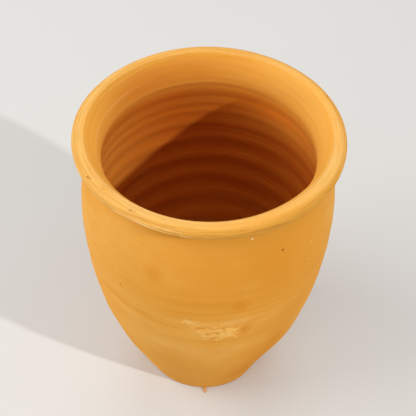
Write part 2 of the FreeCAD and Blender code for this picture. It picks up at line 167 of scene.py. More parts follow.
# Marks on the outer wall: azimuth in degrees, height, half width and half height in metres, and strength
SLIP_TRACES = (
    (-97.2, 0.0735, 0.0025, 0.0013, 1.1),
    (-93, 0.0726, 0.0028, 0.0009, 0.5),
    (-68.6, 0.0652, 0.001, 0.0009, 0.9),
    (-80, 0.0716, 0.005, 0.0008, 0.4),
    (-71.3, 0.0892, 0.0024, 0.0018, 0.55),
    (-73, 0.0855, 0.0018, 0.0026, 0.25),
)
PALE_SMEARS_AND_SHEEN = (
    (-86, 0.0722, 0.006, 0.0018, 0.5),
    (-76, 0.073, 0.005, 0.0022, 0.4),
    (-84, 0.0672, 0.0085, 0.0042, 0.5),
    (-62, 0.07, 0.006, 0.002, 0.5),
    # The next five rows are painted sheen, paler on the belly's left and right sides
    (-160, 0.095, 0.016, 0.015, 0.35),
    (-150, 0.07, 0.01, 0.013, 0.35),
    (-134, 0.098, 0.016, 0.012, 0.3),
    (-120, 0.064, 0.014, 0.012, 0.4),
    (-20, 0.092, 0.007, 0.013, 0.5),
    (-38, 0.056, 0.008, 0.006, 0.3),
    (-100, 0.048, 0.02, 0.005, 0.4),
    (60, 0.08, 0.018, 0.012, 0.5),
    (140, 0.064, 0.015, 0.008, 0.4),
)
# Stains, with some painted shade among them
STAINS_AND_SHADE = (
    (-112, 0.0932, 0.0026, 0.003, 0.65),
    (-75.5, 0.0811, 0.0023, 0.0019, 0.9),
    (-72.2, 0.0672, 0.0019, 0.0026, 1.0),
    (-102, 0.0765, 0.0075, 0.0022, 0.35),
    (-60, 0.096, 0.013, 0.011, 0.5),
    (-42, 0.088, 0.016, 0.022, 0.3),
    # The next row is painted shade under the lip on the left
    (-158, 0.11, 0.012, 0.005, 0.3),
    (-86, 0.096, 0.02, 0.015, 0.45),
    (-84, 0.0828, 0.03, 0.0052, 0.3),
    (-51.2, 0.048, 0.0025, 0.0025, 0.5),
    # The next two rows are painted shade in the grip's dent and above it
    (-62, 0.02, 0.008, 0.011, 0.8),
    (-53, 0.039, 0.01, 0.015, 0.9),
    (-48, 0.064, 0.01, 0.011, 0.45),
    (20, 0.069, 0.006, 0.003, 0.4),
    (105, 0.09, 0.004, 0.003, 0.5),
)


def arc(centre, radius, start, end, rows):
    """Points (radius from the axis, height) on an arc about centre, from one angle to another."""
    angles = np.linspace(start, end, rows)
    return np.stack([centre[0] + radius * np.cos(angles), centre[1] + radius * np.sin(angles)], axis=1)


def direction(start, end):
    """Angle of the line from one point of the section to another."""
    return math.atan2(end[1] - start[1], end[0] - start[0])


def smooth_step(low, high, value):
    """0 at low and beyond it, 1 at high and beyond it, a smooth S between; low may be the upper one."""
    share = np.clip((value - low) / (high - low), 0, 1)
    return share * share * (3 - 2 * share)


def bell(offset, width):
    """A bell curve of height 1 at no offset."""
    return np.exp(-((offset / width) ** 2))


def turn_from(around, degrees):
    """Signed angle from a given azimuth, at most half a turn either way."""
    return (around - radians(degrees) + math.pi) % TURN - math.pi


def facing(around, azimuth, spread):
    """A bell around the vessel: 1 at an azimuth, fading over a spread, both in degrees."""
    return bell(turn_from(around, azimuth), radians(spread))


def patch(around, across, azimuth, spread, middle, half, strength):
    """A soft oval patch: its strength times a bell around the vessel and a bell across."""
    return strength * facing(around, azimuth, spread) * bell(across - middle, half)


def ripple(around, along, seed, waves, turns, pitches):
    """Gentle seeded noise on a turned surface: cosines with whole waves around and free ones along."""
    draw = np.random.default_rng(seed)
    total = 0 * (around + along)
    for _ in range(waves):
        count = draw.integers(-turns, turns + 1)
        pitch = draw.uniform(*pitches)
        total += np.cos(count * around + TURN * along / pitch + draw.uniform(0, TURN))
    return total / math.sqrt(waves)


# Section of the vessel: stretches by name, each with its count of rows, then the two ends of a line, or the
# centre, radius and two angles of an arc; points are (radius from the axis, height)
HALF_TURN = math.pi
QUARTER = math.pi / 2
LIP_LOW_CENTRE = (RIM_RADIUS - LIP_LOW_ROUND, HEIGHT - LIP_THICKNESS + LIP_LOW_ROUND)
LIP_TOP_CENTRE = (RIM_RADIUS - LIP_TOP_ROUND, HEIGHT - LIP_TOP_ROUND)
MOUTH_CENTRE = (LIP_TOP_CENTRE[0] - LIP_FLAT, HEIGHT - MOUTH_ROUND)


def tangent_radius(centre, radius, side):
    """Radius of the wall arc, upright at (side, belly level), that touches a round from outside."""
    across = centre[0] - side
    up = centre[1] - BELLY_LEVEL
    return (across**2 + up**2 - radius**2) / (2 * (radius - across))


def taper_lean():
    """Lean of the straight taper, such that an arc tangent to it turns upright at the belly.

    With t the tangent of half the lean, taper 2t / (1 - t^2) + (belly level - taper) t is the spread.
    """
    spread, rise = BELLY_RADIUS - FOOT_RADIUS, BELLY_LEVEL - TAPER_HEIGHT
    half = 0.1
    for _ in range(30):
        half = spread / (2 * TAPER_HEIGHT / (1 - half**2) + rise)
    return 2 * math.atan(half)


def centre_below(other, across, reach):
    """Centre of a round at a distance from the axis, below another centre and a reach away from it."""
    return across, other[1] - math.sqrt(reach**2 - (across - other[0]) ** 2)


def foot_to_belly():
    """Stretches from the middle of the underside, over the foot's round and up the taper to the belly."""
    lean = taper_lean()
    foot = (FOOT_RADIUS - FOOT_ROUND * math.tan(math.pi / 4 - lean / 2), FOOT_ROUND)
    foot_end = (foot[0] + FOOT_ROUND * math.cos(lean), FOOT_ROUND * (1 - math.sin(lean)))
    taper_end = (FOOT_RADIUS + TAPER_HEIGHT * math.tan(lean), TAPER_HEIGHT)
    radius = (BELLY_LEVEL - TAPER_HEIGHT) / math.sin(lean)
    return {
        "base": (26, (0, 0), (foot[0], 0)),
        "foot": (6, foot, FOOT_ROUND, -QUARTER, -lean),
        "taper": (18, foot_end, taper_end),
        "lower": (52, (BELLY_RADIUS - radius, BELLY_LEVEL), radius, -lean, 0),
    }


def belly_to_lip():
    """Stretches from the belly up the shoulder and the cove, and over the lip."""
    low, top = LIP_LOW_CENTRE, LIP_TOP_CENTRE
    cove = centre_below(low, RIM_RADIUS - LIP_OVERHANG + NECK_COVE, LIP_LOW_ROUND + NECK_COVE)
    radius = tangent_radius(cove, NECK_COVE, BELLY_RADIUS)
    shoulder = (BELLY_RADIUS - radius, BELLY_LEVEL)
    neck = direction(shoulder, cove)
    return {
        "shoulder": (30, shoulder, radius, 0, neck),
        "cove": (8, cove, NECK_COVE, HALF_TURN + neck, direction(cove, low)),
        "lip_low": (12, low, LIP_LOW_ROUND, direction(low, cove), 0),
        "lip_face": (14, (RIM_RADIUS, low[1]), (RIM_RADIUS, top[1])),
        "lip_top": (12, top, LIP_TOP_ROUND, 0, QUARTER),
        "lip_flat": (5, (top[0], HEIGHT), (MOUTH_CENTRE[0], HEIGHT)),
    }


def mouth_to_floor():
    """Stretches from the lip's inner edge down the flare and the inner wall to the middle of the floor."""
    flare = centre_below(MOUTH_CENTRE, RIM_RADIUS - THROAT_INSET + FLARE_RADIUS, FLARE_RADIUS - MOUTH_ROUND)
    radius = tangent_radius(flare, FLARE_RADIUS, INNER_BELLY)
    inner = (INNER_BELLY - radius, BELLY_LEVEL)
    drop, inset = BELLY_LEVEL - FLOOR_LEVEL, INNER_BELLY - WELL_RADIUS
    well_radius = (drop**2 + inset**2) / (2 * inset)
    well = (INNER_BELLY - well_radius, BELLY_LEVEL)
    level = FLOOR_LEVEL + FLOOR_ROUND
    across = well[0] + math.sqrt((well_radius - FLOOR_ROUND) ** 2 - (level - BELLY_LEVEL) ** 2)
    edge, throat = direction(flare, MOUTH_CENTRE), direction(inner, flare)
    corner = direction(well, (across, level))
    return {
        "mouth": (24, MOUTH_CENTRE, MOUTH_ROUND, QUARTER, edge),
        "flare": (34, flare, FLARE_RADIUS, edge, HALF_TURN + throat),
        "inner_shoulder": (28, inner, radius, throat, 0),
        "inner_lower": (56, well, well_radius, 0, corner),
        "floor_round": (8, (across, level), FLOOR_ROUND, corner, -QUARTER),
        "floor": (14, (across, FLOOR_LEVEL), (0, FLOOR_LEVEL)),
    }


def vessel_section():
    """Points of the half section, up the outside, over the lip and down inside, by the stretches' names."""
    stretches = {**foot_to_belly(), **belly_to_lip(), **mouth_to_floor()}
    drawn = {2: np.linspace, 4: arc}
    return {name: drawn[len(shape)](*shape, rows) for name, (rows, *shape) in stretches.items()}


class Section:
    """The section's stretches joined into one line, with path length, outward normals and zone masks."""

    def __init__(self):
        stretches = vessel_section()
        self.names = list(stretches)
        joined = [stretches[name][:-1] for name in self.names]
        joined[-1] = stretches[self.names[-1]]
        self.rows = np.concatenate(joined)
        self.stretch = np.repeat(np.arange(len(joined)), [len(part) for part in joined])
        steps = np.linalg.norm(np.diff(self.rows, axis=0), axis=1)
        self.path = np.concatenate([[0], np.cumsum(steps)])[:, None]
        tangent = np.gradient(self.rows, self.path[:, 0], axis=0)
        tangent /= np.linalg.norm(tangent, axis=1, keepdims=True)
        self.normal = np.stack([tangent[:, 1], -tangent[:, 0]], axis=1)
        self.radius, self.level = self.rows[:, :1], self.rows[:, 1:]

    def zone(self, first, last):
        """1 on the rows from one named stretch to another, 0 elsewhere."""
        low, high = self.names.index(first), self.names.index(last)
        return ((self.stretch >= low) & (self.stretch <= high)).astype(float)[:, None]

    def start(self, name):
        """Path length where a named stretch begins."""
        return self.path[np.argmax(self.stretch == self.names.index(name)), 0]

    def past(self, name):
        """Path length beyond where a named stretch begins."""
        return self.path - self.start(name)

    def outer_wall(self, level):
        """Radius and outward normal of the plain outer wall at a height between foot and neck."""
        rows = self.zone("taper", "shoulder")[:, 0] > 0
        heights = self.rows[rows, 1]
        values = (self.rows[rows, 0], self.normal[rows, 0], self.normal[rows, 1])
        return [np.interp(level, heights, value) for value in values]


section = Section()

# Zones of the section, 1 on their rows and 0 elsewhere
BASE = section.zone("base", "base")
OUTSIDE = section.zone("foot", "cove")
LIP = section.zone("lip_low", "mouth")
FLARE = section.zone("mouth", "flare")
INSIDE = section.zone("flare", "floor_round")
FLOOR = section.zone("floor", "floor")


# Relief and tones that the potter's hands and tools left, and painted light and shade; azimuths and spreads
# are in degrees


def finger_spiral(around, drop):
    """Ring count of the finger's spiral up the inner wall, clockwise from above, whole in its grooves.

    The count grows with the drop below the rim and falls by one a turn, with a slight waver.
    """
    counts = np.arange(len(GROOVE_DROPS)) - 1
    waver = 0.05 * ripple(around, drop, seed=12, waves=6, turns=2, pitches=(0.02, 0.05))
    return np.interp(drop, GROOVE_DROPS, counts) - around / TURN + GROOVE_PHASE + waver


def ring_strength(around, drop):
    """How plain the rings are: full on the lower wall, fainter towards the throat and on the right."""
    upper = smooth_step(0.05, 0.022, drop)
    calm = (1 - 0.68 * upper) * (1 - 0.55 * facing(around, 25, 60))
    return calm * smooth_step(0.007, 0.011, drop) * smooth_step(HEIGHT - FLOOR_LEVEL, 0.08, drop)


def finger_rings(around, drop):
    """Shares of the rings' grooves and of the crests between them, from powers of the spiral's sine."""
    swing = np.abs(np.sin(math.pi * finger_spiral(around, drop)))
    plain = INSIDE * ring_strength(around, drop)
    return plain * (1 - swing**GROOVE_SHARPNESS), plain * swing**CREST_SHARPNESS


def throat_edge(around, drop):
    """The narrowest ring of the throat, drawn out to an edge: a bell across it, fainter on the right."""
    return (1 - 0.8 * facing(around, 40, 36)) * bell(drop - 0.0099, 0.001)


def throat_ridge(around, drop):
    """Share of the thin ridge that was left at the throat, a soft patch."""
    return INSIDE * patch(around, drop, *THROAT_RIDGE)


def turning_lines(around, level):
    """Sum of the lines on the outer wall: a wavering bell across each, soft at its ends."""
    total = 0 * (around + level)
    waver = 0.00015 * ripple(around, level, seed=24, waves=5, turns=6, pitches=(0.02, 0.04))
    for first, last, height, half_height, strength in TURNING_LINES:
        share = turn_from(around, (first + last) / 2) / radians((last - first) / 2)
        ends = smooth_step(1, 0.5, np.abs(share))
        total += strength * ends * bell(level - height + waver, half_height)
    return total


def outside_relief(around, level):
    """Faint throwing bands and turning lines that fade at the foot, less the hollows."""
    bands = BAND_HEIGHT * ripple(around, level, seed=21, waves=9, turns=1, pitches=(0.006, 0.014))
    bands += FINE_BAND_HEIGHT * ripple(around, level, seed=22, waves=9, turns=1, pitches=(0.003, 0.005))
    bands *= 0.4 + 1.2 * bell(level - 0.074, 0.015)
    low_wall = smooth_step(0.062, 0.045, level)
    low_bands = ripple(around, level, seed=23, waves=5, turns=1, pitches=(0.015, 0.026))
    bands += LOW_BAND_HEIGHT * low_wall * low_bands
    bands -= TURNING_LINE_DEPTH * turning_lines(around, level)
    hollows = sum(patch(around, level, *hollow) for hollow in HOLLOWS)
    return bands * smooth_step(0.001, 0.008, level) - hollows


def string_marks(around, radius):
    """Shell-shaped grooves under the foot: cosines of the distance from where the string was pulled out."""
    x, y = radius * np.cos(around), radius * np.sin(around)
    pull = np.hypot(x - STRING_EXIT[0], y - STRING_EXIT[1])
    grooves = 0.5 + 0.5 * np.cos(TURN * pull / STRING_PITCH + 0.8 * np.cos(180 * x))
    return grooves * smooth_step(0.0232, 0.019, radius)


def floor_swirl(around, radius):
    """Share of the last turns of the finger on the floor inside, a spiral round a low button."""
    swirl = 0.5 + 0.5 * np.cos(TURN * radius / SWIRL_PITCH - around)
    return swirl * smooth_step(0.0015, 0.005, radius)


def lip_tears(around):
    """Sum of the tears on the lip's outer face: a wavering bell across each, soft at its ends."""
    total = 0 * (around + section.path)
    waver = 0.00006 * ripple(12 * around, section.path, seed=31, waves=6, turns=3, pitches=(0.004, 0.008))
    for first, last, offset, half_width, strength in LIP_TEARS:
        share = (around - radians(first)) / radians(last - first)
        ends = smooth_step(0, 0.2, share) * smooth_step(1, 0.7, share)
        across = section.past("lip_low") - offset + TEAR_SINK * share + waver
        total += strength * ends * bell(across, half_width)
    return np.clip(total, -1, 1)


def lip_crease():
    """The crease between the lip's top and its outer face, a bell across it."""
    return bell(section.past("lip_top") - 0.0008, 0.00022)


def lip_shade(around):
    """How much painted shade darkens the lip's outer face: most low on it, and most on the front and right.
    """
    side = 0.2 + 0.85 * facing(around, -66, 42)
    low, face, top = (section.start(name) for name in ("lip_low", "lip_face", "lip_top"))
    rise = smooth_step(low + 0.0001, face, section.path)
    return side * rise * smooth_step(top + 0.0024, face + 0.0012, section.path)


def lip_edge(around):
    """The lip's inner edge, a narrow bead where its top turns down: a bell, plainest on the front left."""
    plain = 0.7 + 0.3 * facing(around, -125, 85)
    return plain * bell(section.past("mouth") - 0.0015, 0.00048)


def lip_relief(around):
    """A full outer face with its corner taken off, the crease, the inner bead, fine lines and the tears."""
    lines = ripple(around, section.path, seed=32, waves=10, turns=3, pitches=(0.0008, 0.002))
    rolled = LIP_ROLL_HEIGHT * bell(section.past("lip_face") - 0.0009, 0.001)
    rolled = rolled - LIP_CORNER_DEPTH * bell(section.past("lip_top") - 0.0014, 0.0011)
    cut = LIP_BEAD_HEIGHT * lip_edge(around) - LIP_CREASE_DEPTH * lip_crease()
    return rolled + cut + LIP_LINE_HEIGHT * lines + TEAR_HEIGHT * lip_tears(around)


def lip_notch(around):
    """How far the lip's lower edge is torn away upwards on the front left, in metres.

    A long shallow stretch and a short deep one, full on the lip's underside, none at its top or the neck.
    """
    shallow = 0.0004 * smooth_step(radians(23), radians(14), np.abs(turn_from(around, -113)))
    deep = 0.0006 * facing(around, -117, 10)
    below = smooth_step(section.start("cove") - 0.002, section.start("lip_low"), section.path)
    above = smooth_step(section.start("lip_top") + 0.0004, section.start("lip_face"), section.path)
    return (shallow + deep) * below * above


def lip_rub_and_sheen(around):
    """How pale the lip is, rubbed and with painted sheen: most on its top, and on the left and right down
    its whole outer face.

    It fades into the mouth: shortly on the left, late and fast on the front, slowly elsewhere.
    """
    low, top, flat, mouth = (section.start(name) for name in ("lip_low", "lip_top", "lip_flat", "mouth"))
    front, crisp, back = facing(around, -85, 62), facing(around, 185, 60), facing(around, 108, 52)
    left = np.maximum(facing(around, -121, 33), facing(around, -163, 30))
    right = 0.55 * facing(around, -6, 32)
    rise = smooth_step(top + 0.0003 + 0.0007 * front, flat + 0.0006, section.path)
    rise = np.maximum(rise, np.maximum(0.9 * left, right) * smooth_step(low, low + 0.0008, section.path))
    fade = 0.0032 - 0.0024 * crisp - 0.0018 * front
    end = mouth + 0.0013 - 0.0004 * crisp + 0.0018 * front - 0.0007 * back
    extent = 1 - 0.6 * facing(around, -66, 46)
    return extent * rise * smooth_step(0.5, -0.5, (section.path - end) / fade)


def lip_painted_light(around):
    """How much painted light brightens the lip's top on the front, between two smooth steps."""
    rise = smooth_step(section.start("lip_top") + 0.0012, section.start("lip_flat") + 0.0008, section.path)
    return 0.5 * facing(around, -76, 42) * rise * smooth_step(0.004, 0.0025, section.past("mouth"))


def flare_painted_light(around, drop):
    """How much painted light brightens the flare at its two sides."""
    right = facing(around, 18, 41) * smooth_step(0.012, 0.0085, drop)
    return np.clip(right + patch(around, drop, *LIT_FLARE), 0, 1)


def inner_shade_share(around, drop):
    """Share of the painted shade inside, a deeper, redder tone: slight on the flare, a step at the throat
    and one below it.

    At its sides the flare stays pale, and at the back left it is deeper. On the right one long step takes
    the place of the two. The tone eases on the left wall and near the bottom.
    """
    side = np.cos(around) ** 2
    pale = 0.9 * facing(around, 15, 50) + 0.85 * facing(around, 185, 45)
    flare = 0.27 * (1 - pale) * smooth_step(0.0005, 0.0048, drop)
    shadow = 0.42 * facing(around, 138, 30) * smooth_step(0.0006, 0.0028, drop)
    flare = flare + shadow * smooth_step(0.011, 0.007, drop) + patch(around, drop, *SHADED_FLARE)
    below = 0.48 + 0.2 * side + 0.1 * facing(around, 112, 25)
    steps = 0.25 * smooth_step(0.0094, 0.0108, drop) + below * smooth_step(0.0108, 0.0155, drop)
    gentle = (0.78 + 0.2 * side) * smooth_step(0.012, 0.036, drop)
    steps = steps + 0.87 * facing(around, 42, 46) * (gentle - steps)
    left = 0.55 * facing(around, 174, 50) * smooth_step(0.012, 0.02, drop)
    return (flare + steps) * (1 - left - 0.15 * smooth_step(0.062, 0.08, drop))


def well_shade_share(around, drop):
    """Share of the darkest painted shade half-way down the inner wall, between two smooth steps, least on
    the left.

    A fainter patch of it lies higher, below the throat at the back left.
    """
    share = 0.75 + 0.45 * facing(around, 25, 48) - 0.9 * facing(around, 188, 55)
    depth = smooth_step(0.022, 0.036, drop) * smooth_step(0.086, 0.06, drop)
    return patch(around, drop, *SHADED_WALL) + np.clip(share, 0, 1) * depth


def wall_darkening(around, level):
    """Darkening of the outer wall: a line of painted shade under the lip, and darker towards the foot, save
    on the front left.
    """
    clean = 0.9 * facing(around, -112, 28)
    return 0.45 * bell(level - 0.11, 0.0015) + 0.3 * (1 - clean) * smooth_step(0.05, 0.012, level)


def wall_marks(marks, around, level):
    """Sum of soft oval marks on the outer wall, each a bell along the wall and a bell up it."""
    total = 0 * (around + level)
    for azimuth, height, half_width, half_height, strength in marks:
        along = section.outer_wall(height)[0] * turn_from(around, azimuth)
        total += strength * bell(along, half_width) * bell(level - height, half_height)
    return np.clip(total, 0, 1)


def settle(across, up, around):
    """Points of a turned surface, slightly out of round at the belly and the rim, with an uneven lip."""
    rise = np.clip(up / HEIGHT, 0, 1) ** 2
    oval = rise * (0.00012 * np.cos(2 * around + 0.7) + 0.00007 * np.cos(3 * around - 1.1))
    oval = oval - BELLY_OVAL * bell(up - 0.078, 0.022) * np.cos(2 * around)
    wave = 0.0001 * np.cos(2 * around + 2.1) + 0.00006 * np.cos(3 * around + 0.4) - RIM_LOW
    rim = smooth_step(0.095, HEIGHT, up)
    up = up + rim * (wave - RIM_SAG * facing(around, 127, 32))
    narrow = facing(around, 145, 30) + facing(around, 8, 25)
    across = across + oval - RIM_NARROW * rim * narrow
    return np.stack([across * np.cos(around), across * np.sin(around), up], axis=-1)


# Meshes


def add_object(name, data):
    """A new object, linked to the scene."""
    added = bpy.data.objects.new(name, data)
    bpy.context.scene.collection.objects.link(added)
    return added


def grid_piece(name, points, node):
    """A closed piece from a grid of points, rows by columns around: its first and last row are poles."""
    count, columns = points.shape[:2]
    walls = points[1:-1].reshape(-1, 3)
    vertices = np.concatenate([walls, [points[0].mean(axis=0), points[-1].mean(axis=0)]])
    index = np.arange(len(walls)).reshape(count - 2, columns)
    beside = np.roll(index, -1, axis=1)
    quads = np.stack([index[:-1], beside[:-1], beside[1:], index[1:]], axis=-1).reshape(-1, 4)
    first_fan = np.stack([beside[0], index[0], np.full(columns, len(walls))], axis=-1)
    last_fan = np.stack([index[-1], beside[-1], np.full(columns, len(walls) + 1)], axis=-1)
    mesh = bpy.data.meshes.new(name)
    mesh.from_pydata(vertices, [], quads.tolist() + first_fan.tolist() + last_fan.tolist())
    mesh.polygons.foreach_set("use_smooth", np.ones(len(mesh.polygons), dtype=bool))
    piece = add_object(name, mesh)
    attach(piece, "root")
    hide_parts(node)
    return piece


def store(piece, name, grid):
    """Keeps a number or a vector per grid point as an attribute, the two poles as their row's mean."""
    flat = grid.reshape(grid.shape[0], grid.shape[1], -1)
    poles = [flat[0].mean(axis=0), flat[-1].mean(axis=0)]
    values = np.concatenate([flat[1:-1].reshape(-1, flat.shape[2]), poles]).astype(np.float32)
    kind, field = ("FLOAT_VECTOR", "vector") if flat.shape[2] == 3 else ("FLOAT", "value")
    piece.data.attributes.new(name, kind, "POINT").data.foreach_set(field, values.ravel())


def vessel_relief(around):
    """How far each grid point is moved along the section's normal: the sum of all the relief."""
    radius, level = section.radius, section.level
    drop = HEIGHT - level
    groove, _ = finger_rings(around, drop)
    fine_rings = ripple(around, section.path, seed=11, waves=10, turns=1, pitches=(0.0022, 0.0045))
    move = OUTSIDE * outside_relief(around, level)
    move += LIP * lip_relief(around)
    move += RIDGE_HEIGHT * throat_ridge(around, drop) - GROOVE_DEPTH * groove
    move += FLARE * patch(around, section.past("mouth"), *MOUTH_SWELL)
    move += section.zone("flare", "inner_shoulder") * THROAT_EDGE_HEIGHT * throat_edge(around, drop)
    move += INSIDE * FINE_RING_HEIGHT * fine_rings
    move -= BASE * STRING_DEPTH * string_marks(around, radius)
    move += FLOOR * SWIRL_HEIGHT * floor_swirl(around, radius)
    return move


def finish_marks(around):
    """Shares, by attribute, of the turning's lines and of what is pale: rubbed, and with painted sheen and
    light.
    """
    level = section.level
    drop = HEIGHT - level
    lined = 0.2 + 0.25 * bell(level - 0.08, 0.01) + patch(around, level, *LINED_WALL)
    turned = LIP + 0.8 * INSIDE + OUTSIDE * lined
    rubs_and_sheen = (
        lip_rub_and_sheen(around),
        # Painted light on the flare's right side
        0.22 * FLARE * facing(around, 20, 36) * smooth_step(0.0105, 0.007, drop),
        0.6 * BASE * (1 - string_marks(around, section.radius)),
        0.6 * throat_ridge(around, drop),
    )
    return {"turned": turned, "rub": np.maximum.reduce(rubs_and_sheen)}


def inside_marks(around):
    """Shares, by attribute, of the painted shade and light inside, and of the rings."""
    drop, zone = HEIGHT - section.level, section.zone
    groove, crest = finger_rings(around, drop)
    glow = zone("mouth", "inner_shoulder") * flare_painted_light(around, drop)
    return {
        "deep": zone("mouth", "floor") * inner_shade_share(around, drop),
        "well": zone("inner_shoulder", "floor") * well_shade_share(around, drop),
        "glow": np.maximum(glow, lip_painted_light(around)),
        "warm": zone("flare", "inner_lower") * patch(around, drop, *WARM_LIT_WALL),
        "groove": groove,
        "crest": crest,
    }


def outside_marks(around):
    """Shares, by attribute, of the marks on the outer wall and the lip, with their painted shade, sheen and
    highlight.
    """
    level = section.level
    tears = LIP * lip_tears(around)
    lines = turning_lines(around, level)
    neck = patch(around, level, *SHADED_NECK)
    smears_and_sheen = wall_marks(PALE_SMEARS_AND_SHEEN, around, level) - np.minimum(lines, 0)
    # Painted shade under the lip and on the neck, the turning lines' grooves drawn darker, and darker
    # towards the foot
    darkening = wall_darkening(around, level) + np.maximum(lines, 0) + 0.75 * neck
    dark_marks = np.clip(wall_marks(STAINS_AND_SHADE, around, level) + darkening, 0, 1)
    underside = smooth_step(section.start("lip_face"), section.start("lip_low"), section.path)
    # Painted shade in the lip's crease and under its lower edge
    lip_shade_lines = np.maximum(0.2 * lip_crease(), 0.9 * underside)
    # Painted shade on the lip's face and in the tears' dark gaps
    lip_dark = np.clip(np.maximum(lip_shade(around), -tears), 0, 1)
    return {
        # Torn pale strips, and a painted highlight along the lip's inner edge bead
        "fray": np.clip(tears + 0.25 * LIP * lip_edge(around), 0, 1),
        "smear": OUTSIDE * np.clip(smears_and_sheen, 0, 1),
        "trace": OUTSIDE * wall_marks(SLIP_TRACES, around, level),
        "stain": OUTSIDE * dark_marks + LIP * lip_shade_lines,
        "shade": LIP * lip_dark + OUTSIDE * neck,
    }


def build_vessel():
    """The vessel as one closed grid: section rows by columns around, moved along the section's normal."""
    around = np.linspace(-math.pi, math.pi, COLUMNS, endpoint=False)[None, :]
    move = vessel_relief(around)
    across = section.radius + move * section.normal[:, :1]
    up = section.level + move * section.normal[:, 1:] + lip_notch(around)
    vessel = grid_piece("vase", settle(across, up, around), "vase_body")
    wheel = np.broadcast_arrays(np.cos(around), np.sin(around), section.path)
    store(vessel, "wheel", np.stack(wheel, axis=-1))
    for marks in (finish_marks(around), inside_marks(around), outside_marks(around)):
        for name, grid in marks.items():
            store(vessel, name, grid)
    return vessel


# Crust of pale slip: the wall point at its middle, half sizes of its frame, and its pits, each x along
# the wall, y up it, half width and half height
CRUST_AZIMUTH = -84.2
CRUST_LEVEL = 0.0672
CRUST_HALF_WIDTH = 0.0102
CRUST_HALF_HEIGHT = 0.0054
CRUST_THICKNESS = 0.00028
CRUST_RAGGED = 0.0006
CRUST_PITS = (
    (-0.0062, 0.0031, 0.0011, 0.0005),
    (-0.0048, 0.003, 0.0008, 0.0005),
    (0.0000, -0.0001, 0.0006, 0.0006),
    (-0.0016, -0.0032, 0.0009, 0.0005),
    (-0.0034, -0.0005, 0.0007, 0.0005),
    (0.0067, 0.0036, 0.0007, 0.0004),
    (0.003, 0.003, 0.003, 0.0003),
    (-0.0014, 0.0028, 0.0025, 0.0003),
)


def crust_pits(x, y):
    """Sum of the oval pits at x along the wall and y up it, each a bell either way."""
    total = 0 * x
    for across, up, half_width, half_height in CRUST_PITS:
        total = total + bell(x - across, half_width) * bell(y - up, half_height)
    return np.clip(total, 0, 1)


def crust_share(x, y):
    """Share of the crust's thickness at x along the wall and y up it, below 0 where the wall is bare.

    A slanted left edge, a straight top and a sagging lower edge bound it, all ragged with seeded noise.
    A soft step of the distance to the nearest edge gives its thickness, less the pits.
    """
    rough = ripple(0 * x, x + 0.6 * y, seed=41, waves=9, turns=0, pitches=(0.0012, 0.0042))
    rough += ripple(0 * x, y - 0.5 * x, seed=42, waves=9, turns=0, pitches=(0.001, 0.0034))
    left = x + 0.0082 - 0.45 * (0.0033 - y)
    right = 0.0064 - x - 0.1 * y
    top = 0.0035 - y + 0.0005 * np.cos(900 * x)
    bottom = y + 0.0046 - 0.0016 * (x / 0.008) ** 2
    inside = np.minimum(np.minimum(left, right), np.minimum(top, bottom)) + CRUST_RAGGED * rough
    return smooth_step(-0.0004, 0.0016, inside) - 0.15 + 0.08 * rough - 0.4 * crust_pits(x, y)


def build_crust():
    """A closed thin shell, polar on the wall: out from its middle over the front, back inside the clay."""
    turn = -np.linspace(0, TURN, 220, endpoint=False)[None, :]
    front = np.linspace(0, 1, 64)[:, None]
    back = np.linspace(0.9, 0, 4)[:, None]
    reach = np.concatenate([front, back])
    behind = np.concatenate([0 * front, 1 + 0 * back])
    x = CRUST_HALF_WIDTH * reach * np.sign(np.cos(turn)) * np.abs(np.cos(turn)) ** 0.8
    y = CRUST_HALF_HEIGHT * reach * np.sign(np.sin(turn)) * np.abs(np.sin(turn)) ** 0.8
    level = CRUST_LEVEL + y
    radius, normal_across, normal_up = section.outer_wall(level)
    around = radians(CRUST_AZIMUTH) + x / section.outer_wall(CRUST_LEVEL)[0]
    share = crust_share(x, y)
    raised = outside_relief(around, level) + np.where(behind > 0, -0.0006, CRUST_THICKNESS * share)
    points = settle(radius + raised * normal_across, level + raised * normal_up, around)
    crust = grid_piece("slip_crust", points, "slip_patch")
    store(crust, "cover", np.clip(0.25 + 2.2 * share, 0, 1))
    store(crust, "pit", crust_pits(x, y))
    return crust


def build_tail():
    """The shred at the foot: a flattened tube that runs out over the ground and thins to its tip."""
    low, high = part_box("cutting_tail")
    turn = np.linspace(0, TURN, 24, endpoint=False)[None, :]
    along = np.linspace(0, 1, 28)[:, None]
    half_width = (0.00095 - 0.00055 * along) * np.sqrt(np.clip(1 - (2 * along - 1) ** 8, 0, 1))
    half_height = 0.5 * half_width
    lumps = 1 + 0.12 * ripple(turn, along, seed=51, waves=8, turns=3, pitches=(0.2, 0.6))
    middle = (low.x + high.x) / 2 + 0.0005 + 0.0004 * along
    x = middle + half_width * np.cos(turn) * lumps
    y = high.y + (low.y - high.y) * along + 0 * turn
    z = half_height + half_height * np.sin(turn) * lumps
    points = np.stack([x, y, np.maximum(z, 0)], axis=-1)
    return grid_piece("foot_shred", points, "cutting_tail")


def build_crumb():
    """The crumb under the lip: an oval ball in its box, roughened with seeded noise."""
    low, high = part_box("rim_crumb")
    middle = np.array((low + high) / 2)
    half = 0.65 * np.array((high - low) / 2)
    turn = np.linspace(0, TURN, 40, endpoint=False)[None, :]
    tilt = np.linspace(math.pi, 0, 24)[:, None]
    lumps = 1 + 0.1 * ripple(turn, tilt, seed=61, waves=10, turns=4, pitches=(0.7, 2.0)) * np.sin(tilt)
    level = np.cos(tilt) + 0 * turn
    ball = np.stack([np.sin(tilt) * np.cos(turn), np.sin(tilt) * np.sin(turn), level], axis=-1)
    crumb = grid_piece("lip_crumb", middle + half * lumps[..., None] * ball, "rim_crumb")
    store(crumb, "cover", 1 + 0 * level)
    store(crumb, "chalk", 1 + 0 * level)
    return crumb


# Materials


def feed(tree, socket, value):
    """Links a socket to another node's output, or sets its constant."""
    if isinstance(value, bpy.types.NodeSocket):
        tree.links.new(value, socket)
    else:
        socket.default_value = value


